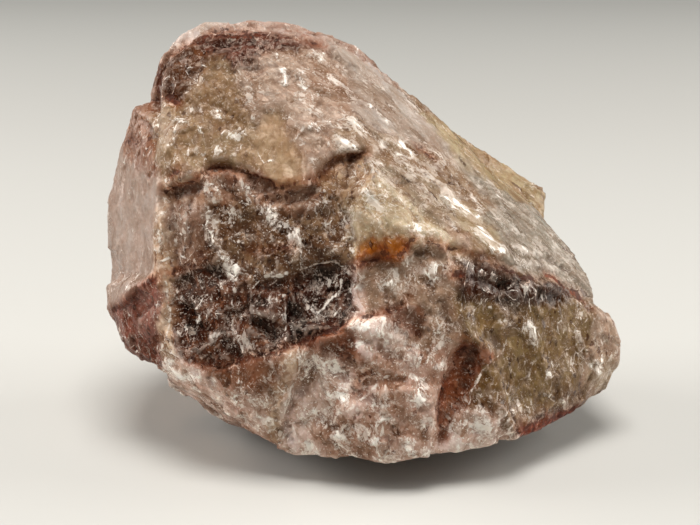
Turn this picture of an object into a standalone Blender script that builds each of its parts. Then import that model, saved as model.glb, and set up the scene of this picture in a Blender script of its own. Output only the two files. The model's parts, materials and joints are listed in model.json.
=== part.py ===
"""Raw chunk of hematoid quartz: one broken stone, modelled in metres, +Z up.

The stone is built the way a quarried lump breaks. A few convex blocks of massive quartz stand
against each other and are joined into one body; where they meet, the stone has its notches.
Flakes are then struck off the front, which leaves the ledges, hollows and standing slabs. The
body also gets the shallow bowls and sharp crests of a conchoidal fracture. It is thinned to a
few thousand flat faces and cut level underneath, where it rests.
"""

import bmesh
import bpy
import numpy as np
from mathutils import Vector, noise

MM = 0.001

# Driving dimensions, in millimetres.
GRAIN = 1.2              # edge of the even mesh that the fracture is worked on
FACE_COUNT = 9200        # triangles kept in the finished solid
LEDGE_RUN = 1.4          # width over which a flake's edge drops
EDGE_WANDER = 1.3        # how far a flake's edge strays from its straight outline
WANDER_SIZE = 6.0        # length of those strays
FRONT_FACING = 0.15      # least share of a surface's normal towards the front for a flake to cut it
REST_LEVEL = -5.0        # level that the underside is cut at; the foot's front edge hangs above it

# Fracture relief: the bowls' size and depth, in millimetres.
RELIEF = (
    (24.0, 1.6),
    (11.0, 1.1),
    (5.5, 0.5),
)
TILT = 0.9               # how strongly each bowl leans, as a share of its depth
GRAIN_RUN = Vector((0.75, -0.10, -0.65)).normalized()  # way the bowls are drawn out
GRAIN_STRETCH = 0.5      # how much they are drawn out, from 0 to 1

# Faces that broke cleanly: centre, radius and how much of the relief they keep.
CALM = {
    "crown face": ((-22, -6, 78), 27, 0.35),
    "left flank": ((-60, 2, 48), 26, 0.45),
    "slope upper": ((14, 4, 68), 24, 0.4),
    "slope lower": ((38, -4, 46), 22, 0.4),
    "lobe": ((42, -18, 22), 20, 0.45),
}

QUARTZ_COLOUR = (0.42, 0.30, 0.25, 1.0)
QUARTZ_ROUGHNESS = 0.45

# Block corners: X right, Y away from the front, Z up from the lower edge of the overhanging foot.
BLOCKS = {
    "crown": (
        (-46, -2, 80), (-45, 1, 84), (-41, 2, 87), (-36, 4, 90), (-14, 6, 90), (-3, 12, 86),
        (-46, -11, 66), (-40, -18, 62), (-17, -21, 60), (0, -18, 65),
        (-38, 30, 80), (-6, 34, 76), (-42, 32, 50), (0, 36, 50),
        (-42, -10, 34), (0, -10, 34),
    ),
    "rim": (
        (-49, 4, 75), (-48, 5, 80), (-47, 6, 84), (-45, 7, 87), (-42, 8, 90), (-37, 9, 92),
        (-18, 11, 92), (-15, 11, 91), (-9, 13, 87),
        (-46, 24, 74), (-36, 28, 82), (-12, 26, 82), (-44, 8, 60), (-10, 12, 60),
    ),
    "slope": (
        (-15, 8, 90), (-3, 12, 86), (21, 18, 64), (43, 14, 44), (53, 2, 34), (53, -4, 29),
        (40, -18, 36), (19, -28, 46), (3, -24, 56), (-2, -18, 66),
        (-6, 32, 74), (22, 30, 56), (38, 26, 36), (46, 18, 22),
        (0, 0, 30), (40, 0, 16),
    ),
    "front": (
        (-45, -13, 64), (-36, -19, 62), (-17, -22, 60), (0, -19, 64), (8, -25, 53),
        (-46, -22, 25), (-38, -27, 22), (-15, -31, 26), (7, -31, 34), (20, -28, 42),
        (-40, 20, 50), (20, 20, 45), (-40, 20, 12), (20, 20, 12),
    ),
    "flank": (
        (-53, 6, 73), (-58, 8, 59), (-61, 8, 46), (-61, 6, 28),
        (-45, -15, 60), (-46, -22, 26), (-44, -8, 72),
        (-50, 32, 62), (-54, 32, 30), (-38, 35, 66), (-34, 35, 16), (-34, 0, 14),
    ),
    "tooth": (
        (-60, -8, 27), (-55, -12, 19), (-47, -20, 17), (-42, -23, 20), (-46, -22, 40),
        (-61, -2, 32), (-50, 24, 20), (-30, 0, 10), (-30, 20, 12), (-40, 0, 40),
    ),
    "shelf": (
        (-46, -20, 18), (-38, -28, 22), (-15, -31, 27), (0, -32, 33), (8, -31, 36),
        (22, -28, 40), (28, -31, 12), (35, -29, 6),
        (-46, 4, 2), (-29, -10, -1), (-14, -31, 1.5), (8, -36, 2.5), (24, -32, 4),
        (-14, -18, 1), (26, -20, 1), (-34, 2, 2), (30, 26, 0), (-20, 28, 0),
        (0, 20, 30),
    ),
    "lobe": (
        (19, -27, 46), (40, -17, 36), (52, -6, 29), (59, -4, 24), (61, -4, 17),
        (58, -2, 6), (46, -15, 3.5), (33, -28, 4), (24, -32, 5), (24, -32, 12), (22, -30, 34),
        (54, 18, 20), (48, 26, 6), (30, 26, 0), (34, -18, 2), (10, 0, 20),
    ),
    "back": (
        (24, 30, 61), (37, 33, 53), (46, 31, 46), (45, 25, 41), (46, 22, 20),
        (10, 40, 50), (30, 40, 40), (36, 38, 12), (-10, 42, 30), (-6, 38, 62),
        (0, 10, 50), (-20, 36, 4), (10, 30, 0), (-36, 34, 20), (-38, 34, 46), (20, 0, 30),
        (-37, 14, 46), (-37, 14, 22),
    ),
    "keel": (
        (-40, 6, 12), (-34, -12, 10), (-10, -20, 3), (22, -20, 3), (38, -12, 8), (46, 6, 9),
        (38, 30, 8), (-24, 36, 8), (-44, 22, 16),
        (-22, 8, -9), (-14, -3, -9), (16, -5, -9), (27, 4, -9), (24, 24, -9), (-14, 27, -9),
    ),
}

# Flakes struck off the front, and slabs left standing (a minus depth). Each outline runs in X
# and Z over the front. "rise" says how much deeper the flake gets per millimetre upwards, and
# "drift" per millimetre to the right; where the depth comes to nothing, the flake fades out.
FLAKES = {
    "smoky hollow": {
        "outline": ((-44, 59), (-39, 60), (-36, 62), (-33, 64), (-30, 64), (-25, 63), (-20, 61),
                    (-17, 60), (-13, 61), (-9, 64), (-7, 66), (-3, 67), (0, 67), (1, 63),
                    (-3, 58), (-3, 52), (-2, 46), (0, 38), (0, 33), (-10, 31), (-18, 27),
                    (-31, 23), (-38, 23), (-43, 26)),
        "depth": 2.5, "rise": 0.09, "drift": 0.02,
    },
    "smoky foot": {
        "outline": ((-43, 43), (-38, 44), (-34, 44), (-29, 43), (-25, 39), (-21, 42), (-13, 44),
                    (-8, 45), (-3, 44), (0, 40), (0, 34), (-10, 31), (-18, 27), (-31, 23),
                    (-38, 23), (-43, 26)),
        "depth": 0.7, "rise": 0.06, "drift": 0.0,
    },
    "glassy face": {
        "outline": ((-16, 41), (-13, 42), (-10, 44), (-4, 44), (-3, 42), (-3, 38), (-5, 35),
                    (-9, 32), (-14, 30), (-17, 30)),
        "depth": 1.2, "rise": 0.04, "drift": -0.16,
    },
    "peach scoop": {
        "outline": ((-24, 72), (-24, 66), (-22, 64), (-19, 61), (-17, 60), (-14, 61), (-14, 66),
                    (-16, 69), (-16, 73), (-18, 76), (-22, 75)),
        "depth": 0.6, "rise": -0.03, "drift": 0.0,
    },
    "middle recess": {
        "outline": ((-3, 42), (0, 44), (4, 45), (8, 45), (10, 48), (14, 48), (19, 48), (20, 37),
                    (19, 29), (9, 27), (6, 34), (0, 33)),
        "depth": 1.6, "rise": 0.13, "drift": 0.0,
    },
    "lobe face": {
        "outline": ((18, 48), (27, 45), (31, 42), (40, 39), (44, 39), (50, 33), (53, 28),
                    (53, 23), (44, 10), (30, 6), (23, 11), (25, 22), (29, 26), (20, 31)),
        "depth": 1.9, "rise": 0.10, "drift": 0.05,
    },
    "valley": {
        "outline": ((21, 27), (26, 27), (23, 20), (21, 15), (19, 8), (16, 6), (17, 18), (18, 24)),
        "depth": 1.6, "rise": 0.0, "drift": -0.1,
    },
    "standing strip": {
        "outline": ((-38, 22), (-31, 22), (-18, 26), (-14, 28), (-15, 21), (-17, 15), (-19, 10),
                    (-22, 5), (-35, 8), (-44, 17)),
        "depth": -0.6, "rise": 0.0, "drift": -0.07,
    },
    "split face": {
        "outline": ((-13, 28), (-10, 27), (-8, 23), (-4, 20), (-4, 16), (-7, 12), (-12, 9),
                    (-18, 9), (-17, 15), (-15, 22)),
        "depth": 0.9, "rise": 0.0, "drift": -0.08,
    },
    "foot slab": {
        "outline": ((-4, 16), (0, 19), (7, 20), (14, 19), (16, 11), (14, 3), (-7, 3), (-12, 3),
                    (-9, 8), (-7, 11)),
        "depth": -1.1, "rise": -0.05, "drift": 0.0,
    },
    "tooth face": {
        "outline": ((-62, 27), (-53, 32), (-46, 40), (-45, 35), (-46, 18), (-56, 14), (-62, 20)),
        "depth": 1.4, "rise": 0.05, "drift": 0.0,
    },
}


def clear_scene():
    for thing in list(bpy.data.objects):
        bpy.data.objects.remove(thing)


def add_object(name, mesh):
    thing = bpy.data.objects.new(name, mesh)
    bpy.context.scene.collection.objects.link(thing)
    return thing


def as_tool(thing):
    """Marks an object that only shapes the stone."""
    thing.hide_render = True
    thing.display_type = "WIRE"
    return thing


def block(name, corners):
    """The convex block of stone that spans these corners."""
    bm = bmesh.new()
    for corner in corners:
        bm.verts.new(Vector(corner) * MM)
    hull = bmesh.ops.convex_hull(bm, input=bm.verts[:])
    left_over = hull["geom_interior"] + hull["geom_unused"]
    inner = {item for item in left_over if isinstance(item, bmesh.types.BMVert)}
    bmesh.ops.delete(bm, geom=list(inner), context="VERTS")
    bmesh.ops.recalc_face_normals(bm, faces=bm.faces[:])
    mesh = bpy.data.meshes.new(name)
    bm.to_mesh(mesh)
    bm.free()
    return as_tool(add_object(name, mesh))


def evaluated_mesh(thing):
    """A free copy of the object's mesh with its modifiers applied."""
    bpy.context.view_layer.update()
    graph = bpy.context.evaluated_depsgraph_get()
    return bpy.data.meshes.new_from_object(thing.evaluated_get(graph))


def joined_body():
    """All blocks as one closed body, on an even mesh."""
    first, *others = [block(name, corners) for name, corners in BLOCKS.items()]
    body = as_tool(add_object("body", first.data.copy()))
    for other in others:
        union = body.modifiers.new("join " + other.name, "BOOLEAN")
        union.operation = "UNION"
        union.object = other
    even = body.modifiers.new("even mesh", "REMESH")
    even.mode = "VOXEL"
    even.voxel_size = GRAIN * MM
    return evaluated_mesh(body)


def places_and_normals(mesh):
    """The mesh's points in millimetres and their normals, as arrays."""
    places = np.array([vertex.co for vertex in mesh.vertices]) / MM
    normals = np.array([vertex.normal for vertex in mesh.vertices])
    return places, normals


def move_to(mesh, places):
    mesh.vertices.foreach_set("co", (places * MM).astype(np.float32).ravel())
    mesh.update()
    return mesh


def inside_by(points, outline):
    """How far inside a closed outline each point lies; negative outside."""
    corners = np.array(outline, float)
    nearest = np.full(len(points), np.inf)
    inside = np.zeros(len(points), bool)
    for start, end in zip(corners, np.roll(corners, -1, axis=0)):
        run = end - start
        along = np.clip(((points - start) @ run) / (run @ run), 0, 1)
        gap = np.linalg.norm(points - start - along[:, None] * run, axis=1)
        nearest = np.minimum(nearest, gap)
        crosses = (start[1] > points[:, 1]) != (end[1] > points[:, 1])
        if start[1] != end[1]:
            at = start[0] + (points[:, 1] - start[1]) / (end[1] - start[1]) * run[0]
            inside ^= crosses & (points[:, 0] < at)
    return np.where(inside, nearest, -nearest)


def struck(mesh):
    """Cuts the flakes into the front and leaves the slabs standing, along Y."""
    places, normals = places_and_normals(mesh)
    wander = np.array([noise.noise_vector(Vector(place) / WANDER_SIZE) for place in places])
    front = (places + EDGE_WANDER * wander)[:, [0, 2]]
    facing = np.clip((-normals[:, 1] - FRONT_FACING) / FRONT_FACING, 0, 1)
    moves = np.zeros(len(places))
    for flake in FLAKES.values():
        outline = flake["outline"]
        middle = np.mean(outline, axis=0)
        depth = flake["depth"]
        lean = (front - middle) @ np.array((flake["drift"], flake["rise"]))
        level = np.maximum(depth + lean, 0) if depth > 0 else np.minimum(depth + lean, 0)
        edge = np.clip(inside_by(front, outline) / LEDGE_RUN + 0.5, 0, 1)
        moves += level * edge * facing
    places[:, 1] += moves
    return move_to(mesh, places)


def bowl(place, size):
    """Height of a surface made of leaning bowls, with sharp crests where two bowls meet."""
    at = place / size
    distances, centres = noise.voronoi(at, distance_metric="DISTANCE_SQUARED")
    lean = noise.cell_vector(centres[0] * 7.3) - Vector((0.5, 0.5, 0.5))
    return distances[0] - 0.35 + TILT * lean.dot(at - centres[0])


def roughness_at(places):
    """Share of the relief that each point keeps."""
    share = np.ones(len(places))
    for centre, radius, kept in CALM.values():
        away = np.linalg.norm(places - np.array(centre), axis=1) / radius
        share = np.minimum(share, kept + (1 - kept) * np.clip(2.5 * away - 1.75, 0, 1))
    return share


def fractured(mesh):
    """Moves each point along its normal by the relief."""
    places, normals = places_and_normals(mesh)
    drawn_out = places - GRAIN_STRETCH * np.outer(places @ np.array(GRAIN_RUN), GRAIN_RUN)
    heights = [sum(depth * bowl(Vector(at), size) for size, depth in RELIEF) for at in drawn_out]
    return move_to(mesh, places + normals * (np.array(heights) * roughness_at(places))[:, None])


def thinned(mesh):
    helper = as_tool(add_object("full stone", mesh))
    thin = helper.modifiers.new("thin", "DECIMATE")
    thin.ratio = min(1.0, FACE_COUNT / (2 * len(mesh.polygons)))
    return evaluated_mesh(helper)


def cut_flat(mesh):
    """The finished solid: cut level underneath, stood on Z = 0 and centred over the origin."""
    bm = bmesh.new()
    bm.from_mesh(mesh)
    everything = bm.verts[:] + bm.edges[:] + bm.faces[:]
    floor = Vector((0, 0, REST_LEVEL * MM))
    bmesh.ops.bisect_plane(
        bm, geom=everything, plane_co=floor, plane_no=(0, 0, -1), clear_outer=True, dist=1e-6
    )
    rim = [edge for edge in bm.edges if edge.is_boundary]
    bmesh.ops.edgenet_fill(bm, edges=rim)
    xs = [vertex.co.x for vertex in bm.verts]
    ys = [vertex.co.y for vertex in bm.verts]
    middle = Vector((min(xs) + max(xs), min(ys) + max(ys), 2 * floor.z)) / 2
    bmesh.ops.translate(bm, vec=-middle, verts=bm.verts[:])
    bmesh.ops.triangulate(bm, faces=bm.faces[:])
    bmesh.ops.recalc_face_normals(bm, faces=bm.faces[:])
    solid = bpy.data.meshes.new("quartz_chunk")
    bm.to_mesh(solid)
    bm.free()
    return solid


def quartz_material():
    material = bpy.data.materials.new("quartz")
    material.use_nodes = True
    shader = material.node_tree.nodes["Principled BSDF"]
    shader.inputs["Base Color"].default_value = QUARTZ_COLOUR
    shader.inputs["Roughness"].default_value = QUARTZ_ROUGHNESS
    shader.inputs["Metallic"].default_value = 0.0
    return material


def main():
    clear_scene()
    stone = add_object("quartz_chunk", cut_flat(thinned(fractured(struck(joined_body())))))
    stone.data.materials.append(quartz_material())


main()
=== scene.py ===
# %% [markdown]
# # A rough chunk of hematoid quartz
#
# This stone is massive quartz that was split out of its vein with a hammer. Part of it is clear
# and smoky, part is clouded white by countless tiny cracks, and iron oxide (hematite) has crept
# into the joints and stained them red, brown and ochre. A finish like that can't be one colour
# with noise over it: it needs a map of where each kind of quartz lies, and then the fine
# textures of each kind. This lesson loads the solid, gives it a fine skin of fractures, paints
# the map on its points, and lets one material read that map.

# %% Load the solid
import json
import math

import bmesh
import bpy
import numpy as np
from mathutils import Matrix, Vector, noise
from mathutils.bvhtree import BVHTree
from mathutils.kdtree import KDTree

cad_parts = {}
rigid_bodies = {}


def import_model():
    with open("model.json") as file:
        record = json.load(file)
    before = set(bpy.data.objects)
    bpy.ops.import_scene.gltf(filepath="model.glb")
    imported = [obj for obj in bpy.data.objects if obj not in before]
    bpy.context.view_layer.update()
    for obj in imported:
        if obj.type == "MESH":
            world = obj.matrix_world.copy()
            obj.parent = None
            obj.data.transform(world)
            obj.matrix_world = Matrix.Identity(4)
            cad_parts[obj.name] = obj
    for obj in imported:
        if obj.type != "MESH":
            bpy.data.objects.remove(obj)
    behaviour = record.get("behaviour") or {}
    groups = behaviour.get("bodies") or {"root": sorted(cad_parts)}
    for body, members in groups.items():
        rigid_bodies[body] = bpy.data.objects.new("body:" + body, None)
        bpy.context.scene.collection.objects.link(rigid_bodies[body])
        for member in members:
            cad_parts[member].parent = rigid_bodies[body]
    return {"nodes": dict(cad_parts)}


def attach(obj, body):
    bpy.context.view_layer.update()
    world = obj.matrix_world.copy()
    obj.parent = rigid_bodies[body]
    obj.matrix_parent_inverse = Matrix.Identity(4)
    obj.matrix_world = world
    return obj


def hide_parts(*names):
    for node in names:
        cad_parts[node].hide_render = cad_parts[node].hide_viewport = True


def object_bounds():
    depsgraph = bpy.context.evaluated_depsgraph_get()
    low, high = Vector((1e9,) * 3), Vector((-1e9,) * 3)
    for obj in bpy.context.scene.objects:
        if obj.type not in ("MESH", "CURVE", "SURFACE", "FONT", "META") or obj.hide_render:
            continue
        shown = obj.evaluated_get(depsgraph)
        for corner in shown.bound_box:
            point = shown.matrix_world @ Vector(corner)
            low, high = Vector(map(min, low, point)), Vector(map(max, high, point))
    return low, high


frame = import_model()
cad_low, cad_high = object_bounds()
solid = frame["nodes"]["quartz_chunk"]
MM = 0.001
NOISE_SEED = 3         # the noise starts anew in every run, unless it gets a seed

noise.seed_set(NOISE_SEED)
solid_size = [round(side / MM, 1) for side in cad_high - cad_low]
print("solid:", len(solid.data.polygons), "faces,", solid_size, "mm")

# %% [markdown]
# ## The camera
#
# The stone is seen from the front, a little from above, through a long lens, as small things are
# usually shot. The camera comes before everything else here, because the markings are laid out
# as they look from it: "the rust line runs from here to here" is far easier to say on a picture
# than in three dimensions. A ray from the camera then finds the place on the stone.

# %% Camera
VIEW_WIDTH, VIEW_HEIGHT = 700, 525
FOCAL_PIXELS = 1459
SENSOR_WIDTH = 36
DISTANCE = 340 * MM
TILT_DOWN = math.radians(18)
AIM = Vector((-3.08, -2.88, 41.8)) * MM

camera_data = bpy.data.cameras.new("camera")
camera_data.sensor_width = SENSOR_WIDTH
camera_data.lens = FOCAL_PIXELS / VIEW_WIDTH * camera_data.sensor_width
camera = bpy.data.objects.new("camera", camera_data)
bpy.context.scene.collection.objects.link(camera)
bpy.context.scene.camera = camera
towards_camera = Vector((0, -math.cos(TILT_DOWN), math.sin(TILT_DOWN)))
camera.location = AIM + towards_camera * DISTANCE
camera.rotation_mode = "QUATERNION"
camera.rotation_quaternion = (-towards_camera).to_track_quat("-Z", "Y")
print("lens:", round(camera_data.lens, 1), "mm at", round(DISTANCE / MM), "mm")

# %% [markdown]
# ## A fine, even skin
#
# The solid has long flat triangles, which carry no detail. A voxel remesh covers it with an even
# net of small squares, fine enough to hold a chip a little over a millimetre across, and a
# little smoothing takes the triangles' own creases away. The other way would be to subdivide
# the triangles, but that keeps the slivers and spends points where nothing happens.

# %% Remesh a copy of the solid
SKIN_GRAIN = 0.69 * MM
SMOOTHING_ROUNDS = 3
SAME_PLACE = 0.001 * MM
EVERY_WAY = {"use_axis_x": True, "use_axis_y": True, "use_axis_z": True}

bm = bmesh.new()
bm.from_mesh(solid.data)
bmesh.ops.remove_doubles(bm, verts=bm.verts[:], dist=SAME_PLACE)
merged = bpy.data.meshes.new("merged")
bm.to_mesh(merged)
bm.free()

coarse = bpy.data.objects.new("coarse", merged)
bpy.context.scene.collection.objects.link(coarse)
net = coarse.modifiers.new("even net", "REMESH")
net.mode = "VOXEL"
net.voxel_size = SKIN_GRAIN
bpy.context.view_layer.update()
graph = bpy.context.evaluated_depsgraph_get()
skin = bpy.data.meshes.new_from_object(coarse.evaluated_get(graph))
bpy.data.objects.remove(coarse)

bm = bmesh.new()
bm.from_mesh(skin)
for _ in range(SMOOTHING_ROUNDS):
    bmesh.ops.smooth_vert(bm, verts=bm.verts[:], factor=0.5, **EVERY_WAY)
bm.to_mesh(skin)
bm.free()
skin.name = "quartz_skin"
print("skin:", len(skin.vertices), "points,", 2 * len(skin.polygons), "triangles")

# %% [markdown]
# ## From a place in the view to a place on the stone
#
# `spot` sends a ray through a pixel and returns the point where it meets the stone. `trail`
# does the same all along a line, so a seam that is drawn over the view lies down on the surface.

# %% Rays
def read_points(mesh):
    points = np.empty(len(mesh.vertices) * 3, np.float32)
    mesh.vertices.foreach_get("co", points)
    return points.reshape(-1, 3).astype(float) / MM


def read_normals(mesh):
    normals = np.empty(len(mesh.vertices) * 3, np.float32)
    mesh.vertex_normals.foreach_get("vector", normals)
    return normals.reshape(-1, 3).astype(float)


points = read_points(skin)
normals = read_normals(skin)
faces = [polygon.vertices[:] for polygon in skin.polygons]
tree = BVHTree.FromPolygons(points.tolist(), faces)
eye = camera.location / MM
turn = camera.rotation_quaternion


def spot(x, y):
    """The point on the stone, in millimetres, that shows at this pixel, or None."""
    ray = Vector((x - VIEW_WIDTH / 2, VIEW_HEIGHT / 2 - y, -FOCAL_PIXELS))
    return tree.ray_cast(eye, turn @ ray.normalized())[0]


def trail(line):
    """Points on the stone all along a line of pixels, one for each pixel."""
    found = []
    for (x0, y0), (x1, y1) in zip(line, line[1:] or line):
        count = max(1, round(math.hypot(x1 - x0, y1 - y0)))
        for i in range(count + 1):
            found.append(spot(x0 + (x1 - x0) * i / count, y0 + (y1 - y0) * i / count))
    return [place for place in found if place]


middle = spot(VIEW_WIDTH / 2, VIEW_HEIGHT / 2)
print("middle of the view meets the stone at", [round(v, 1) for v in middle], "mm")

# %% [markdown]
# ## The kinds of quartz
#
# Each kind has a colour and five habits, from 0 to 1: how much white frost of tiny cracks it
# holds, how much smoke, how far its flakes are drawn out into streaks, how rough it broke, and
# how much iron stains it. A table keeps all of them in one place, where they can be compared.

# %% Palette
HABITS = ("frost", "smoke", "streak", "rough", "iron")
# Painted light and shade: the colours were fitted zone by zone, so each also makes up for how
# strongly the lamps light its zone.
KINDS = {
    "clear rim": ((163, 152, 147), 0.45, 0.00, 0.20, 0.30, 0.05),
    "brick": ((150, 132, 124), 0.25, 0.05, 0.30, 0.40, 0.45),
    "maroon": ((88, 53, 42), 0.18, 0.35, 0.40, 0.50, 0.70),
    "grey brown": ((86, 54, 33), 0.20, 0.25, 0.20, 0.50, 0.25),
    "tan": ((126, 105, 80), 0.36, 0.12, 0.20, 0.40, 0.20),
    "mauve": ((146, 127, 113), 0.42, 0.05, 0.50, 0.35, 0.15),
    "peach": ((150, 129, 103), 0.08, 0.04, 0.10, 0.10, 0.08),
    "pink brown": ((119, 84, 64), 0.32, 0.12, 0.30, 0.45, 0.35),
    "pale pink": ((138, 123, 115), 0.18, 0.03, 0.20, 0.15, 0.10),
    "straw": ((179, 157, 135), 0.55, 0.20, 0.20, 0.50, 0.20),
    "red brown": ((109, 60, 46), 0.22, 0.30, 0.20, 0.60, 0.60),
    "dark maroon": ((159, 130, 110), 0.30, 0.45, 0.20, 0.60, 0.55),
    "mauve grey": ((133, 109, 95), 0.28, 0.30, 0.20, 0.60, 0.15),
    "smoke": ((112, 89, 67), 0.46, 0.55, 0.20, 0.70, 0.10),
    "dark smoke": ((101, 67, 49), 0.42, 0.75, 0.20, 0.80, 0.15),
    "black glass": ((87, 60, 48), 0.40, 0.95, 0.20, 0.70, 0.05),
    "olive brown": ((161, 138, 112), 0.35, 0.35, 0.30, 0.50, 0.10),
    "cream": ((167, 156, 132), 0.60, 0.08, 0.50, 0.50, 0.15),
    "ochre": ((153, 97, 33), 0.10, 0.30, 0.30, 0.50, 0.60),
    "mauve pale": ((147, 138, 130), 0.45, 0.05, 0.90, 0.30, 0.10),
    "white streaked": ((129, 112, 93), 0.75, 0.12, 1.00, 0.45, 0.15),
    "brown mauve": ((140, 130, 114), 0.60, 0.25, 1.00, 0.50, 0.15),
    "bone": ((139, 125, 101), 0.42, 0.00, 0.80, 0.35, 0.05),
    "warm grey": ((126, 121, 111), 0.60, 0.12, 1.00, 0.40, 0.05),
    "pink grey": ((149, 130, 114), 0.45, 0.15, 0.40, 0.40, 0.20),
    "ochre brown": ((145, 132, 104), 0.30, 0.10, 0.60, 0.40, 0.25),
    # Painted shade: this near-black brown holds the rust under the lobe's lip and the shadow that
    # falls there.
    "dark olive": ((50, 19, 3), 0.18, 0.45, 0.30, 0.60, 0.35),
    "olive": ((109, 90, 59), 0.30, 0.25, 0.30, 0.50, 0.10),
    "brown grey": ((110, 87, 63), 0.45, 0.20, 0.30, 0.50, 0.20),
    "bone pink": ((202, 184, 177), 0.85, 0.06, 0.20, 0.50, 0.15),
    "rust": ((120, 46, 20), 0.15, 0.40, 0.20, 0.70, 0.85),
    "dark red": ((131, 84, 59), 0.25, 0.40, 0.50, 0.60, 0.55),
    "mauve brown": ((172, 146, 133), 0.64, 0.15, 0.30, 0.60, 0.25),
}


def linear(colour):
    """A paint chart's colour, 0 to 255 a part, turned into amounts of light."""
    parts = np.array(colour) / 255
    return np.where(parts > 0.04045, ((parts + 0.055) / 1.055) ** 2.4, parts / 12.92)


kind_names = list(KINDS)
kind_table = np.array([[*linear(colour), *habits] for colour, *habits in KINDS.values()])
print(len(KINDS), "kinds of quartz")

# %% [markdown]
# ## Where each kind lies
#
# The outlines follow the stone's own faces as they are seen from the camera, in pixels across
# and down. Each outline is filled with marked points on the surface. The sides, back and
# underside are out of sight, so they get single marks of the same kinds, because a vein goes on
# through a stone, and every stretch of hidden skin takes the kind of the mark nearest to it.

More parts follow.
